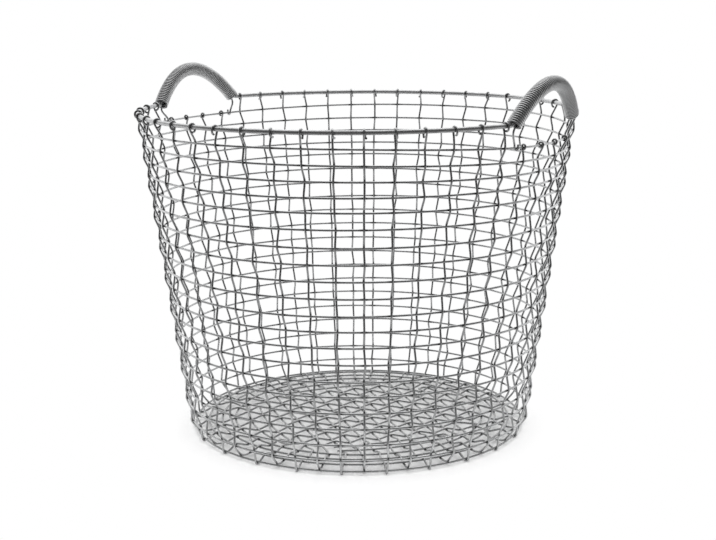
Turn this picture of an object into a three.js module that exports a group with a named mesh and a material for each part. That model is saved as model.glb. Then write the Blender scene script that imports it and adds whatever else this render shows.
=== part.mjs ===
// A round, open-topped basket woven from galvanised steel wire, in millimetres, +Z up, handles on the X axis.
// Long wires cross in a square net in the base, fan out, climb the wall through hoops and curl round the rim.
// The rim wire arches up at each handle, where a wound sleeve covers it and a hooked wire ties it to a hoop.
import * as THREE from "three";

// Wire diameters, and the room left between wires that touch on the real basket.
const RIM_WIRE = 5;
const WEAVE_WIRE = 2.4;
const HOOK_WIRE = 2.4;
const COIL_WIRE = 2.5;
const CLEARANCE = 0.35;

// The wall: radii and depth are measured on the wires' centrelines. The base ring is tucked in a little from
// the foot of the wall's cone.
const RIM_RADIUS = 250;
const BASE_RADIUS = 195.5;
const BASE_TUCK = 4.1;
const BASKET_DEPTH = 370.3;
const HOOP_COUNT = 20;
const CLOSE_HOOPS = 5;
const CLOSE_PITCH = 16.5;
const LOWEST_HOOP_RISE = 13.9;
const UPRIGHT_DRIFT = THREE.MathUtils.degToRad(3);

// The base: a square net of long wires inside whole hoops, with short rows between the two.
const NET_WIRES = 12;
const NET_CELL = 17.1;
const NET_TURN = THREE.MathUtils.degToRad(52.5);
const NET_LIFT = 2.4;
const BASE_HOOP_COUNT = 3;
const SHORT_ROWS = 2;
const SHORT_ROW_WIRES = 8;
const SHORT_ROW_TAIL = 5;
const HAIRPIN_BULGE = 3;
const FOOT_LENGTH = 6.5;

// The handles: heights are above the rim's centreline, widths run along the rim.
const HANDLE_RISE = 39;
const SLEEVE_END_RISE = 0;
const SLEEVE_HALF_WIDTH = 69;
const SLEEVE_PLAY = 4;
const COIL_GAP = 1.1;
const RIM_BEND = 8.5;
const BEND_MIDDLE_PLACE = 2 / 3;
const BEND_MIDDLE_RISE = 1 / 6;
const HOOK_LEAD = 3;

// Bends of a wire's end round another wire: the end starts below the level of the core and turns over it.
const CURL_LEAD = THREE.MathUtils.degToRad(20);
const CURL_STEP = THREE.MathUtils.degToRad(65);
const CURL_POINTS = 5;
const HOOK_POINTS = 4;

// Facets. A wire's polygon has the area of the round wire, so its weight is right.
const WEAVE_SIDES = 3;
const RIM_SIDES = 6;
const COIL_SIDES = 4;
const STEPS_PER_CURL = 6;
const ARCH_STEPS = 9;
const SETTLE_ROUNDS = 6;

const sectionRadius = (diameter, sides) =>
  (diameter / 2) * Math.sqrt((2 * Math.PI) / (sides * Math.sin((2 * Math.PI) / sides)));
const RIM_REACH = sectionRadius(RIM_WIRE, RIM_SIDES);
const WEAVE_REACH = sectionRadius(WEAVE_WIRE, WEAVE_SIDES);
const HOOK_REACH = sectionRadius(HOOK_WIRE, WEAVE_SIDES);
const COIL_REACH = sectionRadius(COIL_WIRE, COIL_SIDES);

// A three-sided wire lies with one flat sideways, so it reaches as far in front of its middle as behind it.
const SIDEWAYS = -Math.PI / 6;
const WEAVE_HALF = WEAVE_REACH * Math.cos(SIDEWAYS);
const HOOK_HALF = HOOK_REACH * Math.cos(SIDEWAYS);
// Turned by this much instead, it has a point to the inside of the basket and a flat to the outside.
const FLAT_OUTSIDE = 0;

// The lowest wires stand flat on the ground, and the base ring lies on them.
const FOOT_HEIGHT = WEAVE_REACH / 2;
const RING_HEIGHT = FOOT_HEIGHT + WEAVE_REACH + CLEARANCE + WEAVE_REACH / 2;
const NET_HEIGHT = RING_HEIGHT + NET_LIFT;
const RIM_HEIGHT = RING_HEIGHT + BASKET_DEPTH;

// Uprights are the long wires' halves: each side of the net sends up one for each of its wires.
const NET_SIDES = 4;
const UPRIGHT_COUNT = NET_SIDES * NET_WIRES;
const UPRIGHT_STEP = (2 * Math.PI) / UPRIGHT_COUNT;
const evenAngle = (upright) => NET_TURN + (upright - (NET_WIRES - 1) / 2) * UPRIGHT_STEP;
// They drift off their even places, all the same way round, most of all half way between the handles.
const uprightAngle = (upright) => evenAngle(upright) + UPRIGHT_DRIFT * Math.sin(evenAngle(upright)) ** 2;
const NET_HALF = ((NET_WIRES - 1) / 2) * NET_CELL;

const UP = new THREE.Vector3(0, 0, 1);
const outward = (angle) => new THREE.Vector3(Math.cos(angle), Math.sin(angle), 0);
const inward = (angle) => outward(angle).negate();
const polar = (radius, angle, height) => outward(angle).multiplyScalar(radius).setZ(height);

// In plain weave, neighbours pass a row on opposite sides, and each wire changes sides from row to row.
// Rows are counted from the net outwards. Side 1 is the inside of the basket, and -1 is the outside.
const sideOf = (upright, row) => ((upright + row) % 2 === 1 ? 1 : -1);
const BASE_RING_ROW = SHORT_ROWS + BASE_HOOP_COUNT + 1;
const RIM_ROW = BASE_RING_ROW + HOOP_COUNT + 1;

// A hoop is a polygon with its corners at the uprights inside it, and its sides run past those outside it,
// so that it gives way to both a little, as a woven hoop does.
const HOOP_CORNERS = UPRIGHT_COUNT / 2;
const HOOP_TURN = (2 * Math.PI) / HOOP_CORNERS;

function makeRow(row, radius, height) {
  const firstCorner = sideOf(0, row) > 0 ? 0 : 1;
  const cornerRadius = (2 * radius) / (1 + Math.cos(HOOP_TURN / 2));
  const cornerAngle = (corner) => uprightAngle(firstCorner + 2 * corner);
  // The place is counted in uprights, and one half means half way to the next.
  const radiusAt = (upright) => {
    const corner = Math.floor((upright - firstCorner) / 2);
    const halfSide = (cornerAngle(corner + 1) - cornerAngle(corner)) / 2;
    const fromMiddle = uprightAngle(upright) - cornerAngle(corner) - halfSide;
    return (cornerRadius * Math.cos(halfSide)) / Math.cos(fromMiddle);
  };
  return { row, height, cornerRadius, cornerAngle, radiusAt };
}

const WALL_LEAN = RIM_RADIUS - BASE_RADIUS - BASE_TUCK;
const wallRadius = (height) => RIM_RADIUS - (WALL_LEAN * (RIM_HEIGHT - height)) / BASKET_DEPTH;
const LOWER_PITCH =
  (BASKET_DEPTH - LOWEST_HOOP_RISE - CLOSE_HOOPS * CLOSE_PITCH) / (HOOP_COUNT - CLOSE_HOOPS);

// Wall hoops, numbered from the rim down: a few close rows first, then wider ones to the base.
const wallHoops = Array.from({ length: HOOP_COUNT }, (_, i) => {
  const closeRows = Math.min(i + 1, CLOSE_HOOPS);
  const lowerRows = i + 1 - closeRows;
  const height = RIM_HEIGHT - closeRows * CLOSE_PITCH - lowerRows * LOWER_PITCH;
  return makeRow(RIM_ROW - 1 - i, wallRadius(height), height);
});
const baseRing = makeRow(BASE_RING_ROW, BASE_RADIUS, RING_HEIGHT);
const NET_CORNER = NET_HALF * Math.SQRT2;
const baseHoops = Array.from({ length: BASE_HOOP_COUNT }, (_, i) => {
  const share = (i + 1) / (BASE_HOOP_COUNT + 1);
  return makeRow(SHORT_ROWS + 1 + i, THREE.MathUtils.lerp(NET_CORNER, BASE_RADIUS, share), NET_HEIGHT);
});

// Sweeps a regular polygon along a path of { point, normal, twist }, mitred at each bend, open or closed.
// Corner 0 points along the normal, turned by the twist.
function sweepWire(path, reach, sides, closed = false) {
  const count = path.length;
  const along = (i) => {
    const from = path[(i + count) % count].point;
    const to = path[(i + 1 + count) % count].point;
    return to.clone().sub(from).normalize();
  };
  const positions = [];
  path.forEach(({ point, normal, twist }, i) => {
    const before = closed || i > 0 ? along(i - 1) : along(i);
    const after = closed || i < count - 1 ? along(i) : before;
    const tangent = before.clone().add(after).normalize();
    const bend = after.clone().sub(before).normalize();
    const stretch = 1 / tangent.dot(after) - 1;
    const across = tangent.clone().cross(normal).normalize();
    const level = across.clone().cross(tangent);
    for (let side = 0; side < sides; side++) {
      const angle = twist + (2 * Math.PI * side) / sides;
      const offset = level.clone().multiplyScalar(reach * Math.cos(angle));
      offset.addScaledVector(across, reach * Math.sin(angle));
      offset.addScaledVector(bend, stretch * offset.dot(bend));
      positions.push(...point.clone().add(offset).toArray());
    }
  });
  const indices = [];
  const spans = closed ? count : count - 1;
  for (let i = 0; i < spans; i++) {
    const next = (i + 1) % count;
    for (let side = 0; side < sides; side++) {
      const other = (side + 1) % sides;
      indices.push(i * sides + side, i * sides + other, next * sides + side);
      indices.push(i * sides + other, next * sides + other, next * sides + side);
    }
  }
  if (!closed) {
    const last = (count - 1) * sides;
    for (let side = 1; side < sides - 1; side++) {
      indices.push(0, side + 1, side);
      indices.push(last, last + side, last + side + 1);
    }
  }
  const geometry = new THREE.BufferGeometry();
  geometry.setAttribute("position", new THREE.Float32BufferAttribute(positions, 3));
  geometry.setIndex(indices);
  geometry.computeVertexNormals();
  return geometry;
}

const galvanised = new THREE.MeshStandardMaterial({ color: 0x9da1a4, roughness: 0.42, metalness: 1 });
const coiledSteel = new THREE.MeshStandardMaterial({ color: 0x8b8e91, roughness: 0.38, metalness: 1 });

function namedMesh(name, geometry, material = galvanised) {
  const mesh = new THREE.Mesh(geometry, material);
  mesh.name = name;
  return mesh;
}

// A hoop or ring lies level, with a point of its section inwards on the wall and upwards in the base.
function hoopMesh(name, hoop, levelBase) {
  const path = Array.from({ length: HOOP_CORNERS }, (_, corner) => {
    const angle = hoop.cornerAngle(corner);
    const normal = levelBase ? UP : inward(angle);
    return { point: polar(hoop.cornerRadius, angle, hoop.height), normal, twist: FLAT_OUTSIDE };
  });
  return namedMesh(name, sweepWire(path, WEAVE_REACH, WEAVE_SIDES, true));
}

// The end of a wire bent round a core. It meets the core on the given side of it, then turns over its top,
// or under it where rise is -1.
function curl(angle, radius, height, coreReach, wireHalf, side, points, rise = 1) {
  const reach = (coreReach + CLEARANCE + wireHalf) / Math.cos(CURL_STEP / 2);
  return Array.from({ length: points }, (_, i) => {
    const turn = i * CURL_STEP - CURL_LEAD;
    const away = inward(angle).multiplyScalar(side * Math.cos(turn));
    away.setZ(rise * Math.sin(turn));
    const point = polar(radius, angle, height).addScaledVector(away, reach);
    return { point, normal: away.multiplyScalar(side), twist: SIDEWAYS };
  });
}

// How far a long wire's middle stands off from the middle of what it crosses, at the slope of its way there.
function standOff(crossing, slope) {
  const own = WEAVE_HALF * Math.hypot(1, slope);
  if (crossing.onNet) return CLEARANCE / 2 + own + (slope * WEAVE_REACH) / 2;
  if (crossing.side > 0) return CLEARANCE + own + WEAVE_REACH;
  return CLEARANCE + own + WEAVE_REACH / 2 + slope * WEAVE_REACH * Math.cos(SIDEWAYS);
}

function slopeBetween(crossing, neighbour) {
  const step = neighbour.point.clone().sub(crossing.point);
  const rise = step.dot(crossing.normal);
  return Math.abs(rise) / Math.sqrt(step.lengthSq() - rise * rise);
}

// Moves each crossing of a long wire clear of what it crosses. Its slopes depend on its neighbours' places,
// so the places are worked out in rounds.
function settle(path) {
  for (let round = 0; round < SETTLE_ROUNDS; round++) {
    path.forEach((crossing, i) => {
      if (!crossing.side) return;
      const before = slopeBetween(crossing, path[i - 1]);
      const after = slopeBetween(crossing, path[i + 1]);
      const distance = crossing.side * standOff(crossing, Math.max(before, after));
      crossing.point = crossing.middle.clone().addScaledVector(crossing.normal, distance);
    });
  }
  return path;
}

function crossingAt(middle, normal, side, onNet = false) {
  const point = middle.clone().addScaledVector(normal, side * WEAVE_WIRE);
  return { middle, point, normal, side, onNet, twist: SIDEWAYS };
}

// Net places: side 0 of the net faces NET_TURN, and the other sides follow at quarter turns.
const netPlace = (x, y) => new THREE.Vector3(x, y, NET_HEIGHT).applyAxisAngle(UP, NET_TURN);
const netOffset = (wire) => (wire - (NET_WIRES - 1) / 2) * NET_CELL;

// Where an upright leaves the net, and where it passes the short rows on its way to the first whole hoop.
function netEdge(upright) {
  const side = Math.floor(upright / NET_WIRES);
  const place = new THREE.Vector3(NET_HALF, netOffset(upright % NET_WIRES), NET_HEIGHT);
  return place.applyAxisAngle(UP, NET_TURN + (side * 2 * Math.PI) / NET_SIDES);
}
function shortRowPlace(upright, shortRow) {
  const angle = uprightAngle(upright);
  const hoopPlace = polar(baseHoops[0].radiusAt(upright), angle, NET_HEIGHT);
  return netEdge(upright).lerp(hoopPlace, shortRow / (SHORT_ROWS + 1));
}
const SKIPPED_WIRES = (NET_WIRES - SHORT_ROW_WIRES) / 2;
function meetsShortRows(upright) {
  const wire = upright % NET_WIRES;
  return wire >= SKIPPED_WIRES && wire < NET_WIRES - SKIPPED_WIRES;
}

// Uprights under a handle end at the top hoop, because the rim has left the circle there.
const HANDLE_ANGLES = [0, Math.PI];
const HANDLE_SPAN = (SLEEVE_HALF_WIDTH + RIM_BEND + WEAVE_REACH) / RIM_RADIUS;
const angleBetween = (a, b) => {
  const turn = THREE.MathUtils.euclideanModulo(a - b, 2 * Math.PI);
  return Math.min(turn, 2 * Math.PI - turn);
};
const underHandle = (angle) => HANDLE_ANGLES.some((handle) => angleBetween(angle, handle) < HANDLE_SPAN);

// The way of one upright from the net's edge to its curled end.
function uprightPath(upright) {
  const angle = uprightAngle(upright);
  const path = [];
  if (meetsShortRows(upright)) {
    for (let row = 1; row <= SHORT_ROWS; row++) {
      path.push(crossingAt(shortRowPlace(upright, row), UP, sideOf(upright, row)));
    }
  }
  baseHoops.forEach((hoop) => {
    const middle = polar(hoop.radiusAt(upright), angle, hoop.height);
    path.push(crossingAt(middle, UP, sideOf(upright, hoop.row)));
  });

  const ringRadius = baseRing.radiusAt(upright);
  const intoCorner = inward(angle).add(UP).normalize();
  const aroundRing = CLEARANCE + WEAVE_HALF + WEAVE_REACH;
  if (sideOf(upright, BASE_RING_ROW) > 0) {
    const point = polar(ringRadius, angle, RING_HEIGHT).addScaledVector(intoCorner, aroundRing);
    path.push({ point, normal: intoCorner, twist: SIDEWAYS });
  } else {
    const footEnd = ringRadius + WEAVE_HALF + CLEARANCE + WEAVE_REACH / 2;
    const footStart = footEnd - FOOT_LENGTH;
    path.push({ point: polar(footStart, angle, FOOT_HEIGHT), normal: UP, twist: FLAT_OUTSIDE });
    path.push({ point: polar(footEnd, angle, FOOT_HEIGHT), normal: UP, twist: FLAT_OUTSIDE });
    const outside = polar(ringRadius + aroundRing + CLEARANCE, angle, RING_HEIGHT);
    path.push({ point: outside, normal: intoCorner, twist: SIDEWAYS });
  }

  const leansIn = inward(angle).multiplyScalar(BASKET_DEPTH);
  const wallNormal = leansIn.setZ(WALL_LEAN).normalize();
  const ends = underHandle(angle);
  const passed = ends ? wallHoops.slice(1) : wallHoops;
  passed.toReversed().forEach((hoop) => {
    const middle = polar(hoop.radiusAt(upright), angle, hoop.height);
    path.push(crossingAt(middle, wallNormal, sideOf(upright, hoop.row)));
  });
  const topHoop = wallHoops[0];
  if (ends) {
    const side = sideOf(upright, topHoop.row);
    const radius = topHoop.radiusAt(upright);
    path.push(...curl(angle, radius, topHoop.height, WEAVE_REACH, WEAVE_HALF, side, CURL_POINTS));
  } else {
    const side = sideOf(upright, RIM_ROW);
    path.push(...curl(angle, RIM_RADIUS, RIM_HEIGHT, RIM_REACH, WEAVE_HALF, side, CURL_POINTS));
  }
  return path;
}

// A long wire: one upright reversed, its way across the net, and the opposite upright.
function longWireMesh(name, firstUpright, lastUpright, netCrossings) {
  const down = uprightPath(firstUpright).toReversed();
  const path = settle([...down, ...netCrossings, ...uprightPath(lastUpright)]);
  return namedMesh(name, sweepWire(path, WEAVE_REACH, WEAVE_SIDES));
}

const numbered = (name, index) => `${name}_${String(index + 1).padStart(2, "0")}`;
const wireIndexes = Array.from({ length: NET_WIRES }, (_, i) => i);

function lengthwiseWire(wire) {
  const crossings = wireIndexes.map((other) => {
    const side = (wire + other) % 2 === 0 ? 1 : -1;
    return crossingAt(netPlace(netOffset(other), netOffset(wire)), UP, side, true);
  });
  const opposite = 2 * NET_WIRES + (NET_WIRES - 1 - wire);
  return longWireMesh(numbered("lengthwise_wire", wire), opposite, wire, crossings);
}

function crosswiseWire(wire) {
  const crossings = wireIndexes.map((other) => {
    const side = (wire + other) % 2 === 0 ? -1 : 1;
    return crossingAt(netPlace(netOffset(wire), netOffset(other)), UP, side, true);
  });
  const far = NET_WIRES + (NET_WIRES - 1 - wire);
  const near = 3 * NET_WIRES + wire;
  return longWireMesh(numbered("crosswise_wire", wire), near, far, crossings);
}

// Two short rows in one wire: out along the net's side, round a hairpin and back. They pass only the uprights
// in the middle of that side.
function shortRowsMesh(side) {
  const first = side * NET_WIRES + SKIPPED_WIRES;
  const row = (shortRow) =>
    Array.from({ length: SHORT_ROW_WIRES }, (_, i) => shortRowPlace(first + i, shortRow));
  const beyond = (from, to, length) => to.clone().add(to.clone().sub(from).setLength(length));
  const out = row(1);
  const back = row(2).toReversed();
  const outEnd = beyond(out.at(-2), out.at(-1), SHORT_ROW_TAIL);
  const backStart = beyond(back[1], back[0], SHORT_ROW_TAIL);
  const hairpin = outEnd.clone().lerp(backStart, 1 / 2);
  hairpin.add(outEnd.clone().sub(out.at(-1)).setLength(HAIRPIN_BULGE));
  const outStart = beyond(out[1], out[0], SHORT_ROW_TAIL);
  const backEnd = beyond(back.at(-2), back.at(-1), SHORT_ROW_TAIL);
  const points = [outStart, ...out, outEnd, hairpin, backStart, ...back, backEnd];
  const path = points.map((point) => ({ point, normal: UP, twist: FLAT_OUTSIDE }));
  return namedMesh(numbered("base_short_rows", side), sweepWire(path, WEAVE_REACH, WEAVE_SIDES));
}

// The middle line of a handle's sleeve: a parabola wrapped on the rim's cylinder.
class SleeveLine extends THREE.Curve {
  constructor(handleAngle) {
    super();
    this.handleAngle = handleAngle;
  }
  getPoint(share) {
    const across = 2 * share - 1;
    const angle = this.handleAngle + (across * SLEEVE_HALF_WIDTH) / RIM_RADIUS;
    const height = SLEEVE_END_RISE + (HANDLE_RISE - SLEEVE_END_RISE) * (1 - across * across);
    return polar(RIM_RADIUS, angle, RIM_HEIGHT + height);
  }
  // The place at a share of the line's length, with the directions into the basket and up out of the arch.
  frameAt(share) {
    const point = this.getPointAt(share);
    const into = new THREE.Vector3(-point.x, -point.y, 0).normalize();
    const over = this.getTangentAt(share).cross(into).normalize();
    return { point, into, over };
  }
}
const sleeves = HANDLE_ANGLES.map((angle) => new SleeveLine(angle));

// Inside the sleeve the rim lies above and the hook wire below, with the same room round both.
const SLEEVE_BORE = RIM_WIRE + HOOK_WIRE + SLEEVE_PLAY;
const COIL_RADIUS = (SLEEVE_BORE + COIL_WIRE) / (1 + Math.cos(Math.PI / STEPS_PER_CURL));
const COIL_HALF = COIL_REACH * Math.cos(Math.PI / COIL_SIDES);
const BORE_REACH = COIL_RADIUS * Math.cos(Math.PI / STEPS_PER_CURL) - COIL_HALF;
const BORE_ROOM = (2 * BORE_REACH - 2 * RIM_REACH - 2 * HOOK_REACH) / 3;
const RIM_OFFSET = BORE_REACH - BORE_ROOM - RIM_REACH;
const HOOK_OFFSET = BORE_REACH - BORE_ROOM - HOOK_REACH;

// The wires in a sleeve follow its middle line at an offset.
function archPath(sleeve, offset, twist) {
  return Array.from({ length: ARCH_STEPS + 1 }, (_, i) => {
    const { point, into, over } = sleeve.frameAt(i / ARCH_STEPS);
    return { point: point.addScaledVector(over, offset), normal: into, twist };
  });
}

// The rim: a corner at every upright that curls round it, and between those its two arches.
function rimMesh() {
  const rimPlace = (angle, height) => ({
    point: polar(RIM_RADIUS, angle, height),
    normal: inward(angle),
    twist: FLAT_OUTSIDE,
  });
  const mouth = sleeves[0].frameAt(1);
  mouth.point.addScaledVector(mouth.over, RIM_OFFSET);
  const mouthAngle = Math.atan2(mouth.point.y, mouth.point.x);
  const bendEnd = (SLEEVE_HALF_WIDTH + RIM_BEND) / RIM_RADIUS;
  // The rim rises little in the outer third of the bend, and steeply from there to the sleeve's mouth.
  const bendMiddle = THREE.MathUtils.lerp(mouthAngle, bendEnd, BEND_MIDDLE_PLACE);
  const middleHeight = THREE.MathUtils.lerp(RIM_HEIGHT, mouth.point.z, BEND_MIDDLE_RISE);
  const path = HANDLE_ANGLES.flatMap((handleAngle, i) => {
    const nextHandle = handleAngle + Math.PI;
    const uprights = Array.from({ length: UPRIGHT_COUNT }, (_, upright) => uprightAngle(upright))
      .map((angle) => handleAngle + THREE.MathUtils.euclideanModulo(angle - handleAngle, 2 * Math.PI))
      .filter((angle) => angle < nextHandle && !underHandle(angle))
      .toSorted((a, b) => a - b);
    return [
      rimPlace(handleAngle - bendEnd, RIM_HEIGHT),
      rimPlace(handleAngle - bendMiddle, middleHeight),
      ...archPath(sleeves[i], RIM_OFFSET, FLAT_OUTSIDE),
      rimPlace(handleAngle + bendMiddle, middleHeight),
      rimPlace(handleAngle + bendEnd, RIM_HEIGHT),
      ...uprights.map((angle) => rimPlace(angle, RIM_HEIGHT)),
    ];
  });
  return namedMesh("rim_wire", sweepWire(path, RIM_REACH, RIM_SIDES, true));
}

// The last upright before an angle, looked for from one place before it would be if all stood evenly.
function uprightBefore(angle) {
  let upright = Math.floor((angle - evenAngle(0)) / UPRIGHT_STEP) - 1;
  while (uprightAngle(upright + 1) < angle) {
    upright += 1;
  }
  return upright;
}

// The hook wire lies in the sleeve under the rim, and its ends hook round the top hoop between two uprights.
function hookWireMesh(name, sleeve) {
  const topHoop = wallHoops[0];
  const hook = (share, outOfMouth) => {
    const { point, into, over } = sleeve.frameAt(share);
    point.addScaledVector(over, -HOOK_OFFSET);
    point.addScaledVector(sleeve.getTangentAt(share), outOfMouth * HOOK_LEAD);
    const place = uprightBefore(Math.atan2(point.y, point.x)) + 1 / 2;
    const angle = uprightAngle(place);
    const radius = topHoop.radiusAt(place);
    const bent = curl(angle, radius, topHoop.height, WEAVE_REACH, HOOK_HALF, 1, HOOK_POINTS, -1);
    return [{ point, normal: into, twist: SIDEWAYS }, ...bent];
  };
  const path = [...hook(0, -1).toReversed(), ...archPath(sleeve, -HOOK_OFFSET, SIDEWAYS), ...hook(1, 1)];
  return namedMesh(name, sweepWire(path, HOOK_REACH, WEAVE_SIDES));
}

// The sleeve: one wire wound close round the arch, with both ends run out straight by a wire's width.
function coilMesh(name, sleeve) {
  const turns = Math.floor(sleeve.getLength() / (COIL_WIRE + COIL_GAP));
  const steps = turns * STEPS_PER_CURL;
  const path = Array.from({ length: steps + 1 }, (_, i) => {
    const { point, into, over } = sleeve.frameAt(i / steps);
    const turn = (2 * Math.PI * i) / STEPS_PER_CURL;
    const normal = into.multiplyScalar(Math.cos(turn)).addScaledVector(over, Math.sin(turn));
    return { point: point.addScaledVector(normal, COIL_RADIUS), normal, twist: Math.PI / COIL_SIDES };
  });
  const runOut = (end, neighbour) => {
    const straight = end.point.clone().sub(neighbour.point).setLength(COIL_WIRE);
    return { ...end, point: end.point.clone().add(straight) };
  };
  path.unshift(runOut(path[0], path[1]));
  path.push(runOut(path.at(-1), path.at(-2)));
  const geometry = sweepWire(path, COIL_REACH, COIL_SIDES);
  const gap = leastGap(geometry, path.length);
  console.log(`${name}: ${turns} turns, least gap between them ${gap.toFixed(2)} mm`);
  return namedMesh(name, geometry, coiledSteel);
}

// The least distance between corners of a coil's rings that lie from half a turn to a turn and a half apart.
function leastGap(geometry, ringCount) {
  const corners = geometry.getAttribute("position");
  const corner = (i) => new THREE.Vector3().fromBufferAttribute(corners, i);
  let least = Infinity;
  for (let ring = 0; ring < ringCount; ring++) {
    const furthest = Math.min(ringCount - 1, ring + (3 * STEPS_PER_CURL) / 2);
    for (let other = ring + STEPS_PER_CURL / 2; other <= furthest; other++) {
      for (let pair = 0; pair < COIL_SIDES * COIL_SIDES; pair++) {
        const here = corner(ring * COIL_SIDES + Math.floor(pair / COIL_SIDES));
        const there = corner(other * COIL_SIDES + (pair % COIL_SIDES));
        least = Math.min(least, here.distanceTo(there));
      }
    }
  }
  return least;
}

const basket = new THREE.Group();
basket.name = "wire_basket";
basket.add(rimMesh());
wallHoops.forEach((hoop, i) => basket.add(hoopMesh(numbered("wall_hoop", i), hoop, false)));
basket.add(hoopMesh("base_ring", baseRing, true));
baseHoops.forEach((hoop, i) => basket.add(hoopMesh(numbered("base_hoop", i), hoop, true)));
for (let side = 0; side < NET_SIDES; side++) {
  basket.add(shortRowsMesh(side));
}
wireIndexes.forEach((wire) => basket.add(lengthwiseWire(wire), crosswiseWire(wire)));
sleeves.forEach((sleeve, i) => {
  basket.add(coilMesh(numbered("handle_coil", i), sleeve));
  basket.add(hookWireMesh(numbered("handle_hook_wire", i), sleeve));
});

export default basket;
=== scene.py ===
# %% [markdown]
# # A basket woven from steel wire
#
# The real basket is nothing but galvanised wire: a thick rim, rings one above the other, and long wires that
# start at the rim, weave down through the rings, cross in the base and climb up again on the other side.
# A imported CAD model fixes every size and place, and it comes first. Its wires have only three to six sides,
# which is right for weight and collision, but not to look at. So each of them is replaced here by a round
# wire that bends as the real one does.

# %% Load the frame
import math

import bpy
import numpy as np
from mathutils import Euler, Matrix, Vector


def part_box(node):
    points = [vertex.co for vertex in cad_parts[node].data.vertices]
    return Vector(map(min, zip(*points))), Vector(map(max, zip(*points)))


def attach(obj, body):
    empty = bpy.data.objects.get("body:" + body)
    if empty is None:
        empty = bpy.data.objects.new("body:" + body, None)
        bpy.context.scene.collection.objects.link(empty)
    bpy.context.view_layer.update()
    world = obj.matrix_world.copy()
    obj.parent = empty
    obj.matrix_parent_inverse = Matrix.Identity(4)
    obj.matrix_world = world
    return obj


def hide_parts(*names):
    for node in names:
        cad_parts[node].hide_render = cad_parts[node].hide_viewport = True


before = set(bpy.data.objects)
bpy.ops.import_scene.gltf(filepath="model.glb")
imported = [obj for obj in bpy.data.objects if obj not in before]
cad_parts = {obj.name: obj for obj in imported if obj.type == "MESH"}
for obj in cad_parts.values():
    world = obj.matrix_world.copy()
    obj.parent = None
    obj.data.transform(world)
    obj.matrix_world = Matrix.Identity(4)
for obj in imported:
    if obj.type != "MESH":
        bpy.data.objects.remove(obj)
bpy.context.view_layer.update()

# %% [markdown]
# ## Sizes
#
# Blender works in metres, and the CAD model in the same frame, so a size is written once, in millimetres,
# and multiplied. The heights of the rings aren't written at all: they are read from the boxes of the CAD
# nodes. The rim is one more row above the top ring, and the lowest wires stand on the floor, at height zero.
# The base ring is tucked in a little from where the sloping wall would meet it.

# %% Wire sizes, radii and rows
MM = 0.001
WEAVE_WIRE = 2.4 * MM
RIM_WIRE = 5.0 * MM
HOOK_WIRE = 2.4 * MM
COIL_WIRE = 2.5 * MM
RIM_RADIUS = 250 * MM
BASE_RADIUS = 195.5 * MM
BASE_TUCK = 4.1 * MM
WALL_LEAN = RIM_RADIUS - BASE_RADIUS - BASE_TUCK
HOOP_COUNT = 20
UP = np.array([0.0, 0.0, 1.0])


def numbered(name, count):
    """Names with a two-figure number, as the CAD nodes have."""
    return [f"{name}_{i + 1:02d}" for i in range(count)]


def middle_height(node):
    """Half way between the lowest and the highest corner of a CAD node."""
    low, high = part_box(node)
    return (low[2] + high[2]) / 2


hoop_nodes = numbered("wall_hoop", HOOP_COUNT)
hoop_heights = np.array([middle_height(node) for node in hoop_nodes])
rim_height = 2 * hoop_heights[0] - hoop_heights[1]
foot_height = WEAVE_WIRE / 2
ring_height = foot_height + WEAVE_WIRE
print("rim at", round(rim_height, 4), "top ring at", round(hoop_heights[0], 4))

# %% [markdown]
# ## A wire is a circle carried along a line
#
# Blender could do this with a curve object and a bevel. A mesh made with numpy shows how it works, keeps
# its place in its vertices, and gets a UV map that runs along the wire, which the finish needs later.
# At each point of the line there is a ring of vertices. Two directions across the line place the ring:
# they come from the line's own direction and from a side direction that never points along the line.

# %% The rings of a round wire
WIRE_SIDES = 10
# Each rounding of a clipped end: its share of the wire's radius, and its reach past the end in radii.
END_RINGS = ((0.86, 0.22), (0.5, 0.36))


def unit(vectors):
    """Each vector divided by its own length."""
    return vectors / np.linalg.norm(vectors, axis=-1, keepdims=True)


def directions_along(line, closed):
    """The direction at each point of a line, from the point before it to the point after it."""
    if closed:
        return unit(np.roll(line, -1, axis=0) - np.roll(line, 1, axis=0))
    return unit(np.gradient(line, axis=0))


def round_off_ends(rings, line, along, radius):
    """The rings with more at each open end, smaller and a little further out, as on a clipped wire."""
    firsts, lasts = [], []
    for share, reach in END_RINGS:
        firsts.insert(0, line[0] + share * (rings[0] - line[0]) - reach * radius * along[0])
        lasts.append(line[-1] + share * (rings[-1] - line[-1]) + reach * radius * along[-1])
    return np.concatenate([firsts, rings, lasts])


def wire_surface(line, side, radius, sides, closed):
    """Rings of vertices, centre + radius · (cos a · level + sin a · across), and the length up to each.

    across is the side direction made square to the line, level is square to both, and a goes once round.
    """
    along = directions_along(line, closed)
    level = unit(np.cross(side, along))
    across = np.cross(along, level)
    turn = 2 * np.pi * np.arange(sides) / sides
    spokes = np.cos(turn)[:, None] * level[:, None] + np.sin(turn)[:, None] * across[:, None]
    rings = line[:, None] + radius * spokes
    if not closed:
        rings = round_off_ends(rings, line, along, radius)
    steps = np.linalg.norm(np.diff(rings.mean(axis=1), axis=0), axis=1)
    return rings, np.concatenate([[0.0], np.cumsum(steps)])


print("a wire has", WIRE_SIDES, "sides and", len(END_RINGS), "more rings at each open end")

# %% [markdown]
# Each ring is joined to the next by four-sided faces. A closed wire also joins its last ring to its first,
# and an open wire gets one flat face on each end. A mesh keeps all this in flat lists: the corners of the
# faces one after another, the place in that list where each face starts, and a UV place for each corner.

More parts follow.
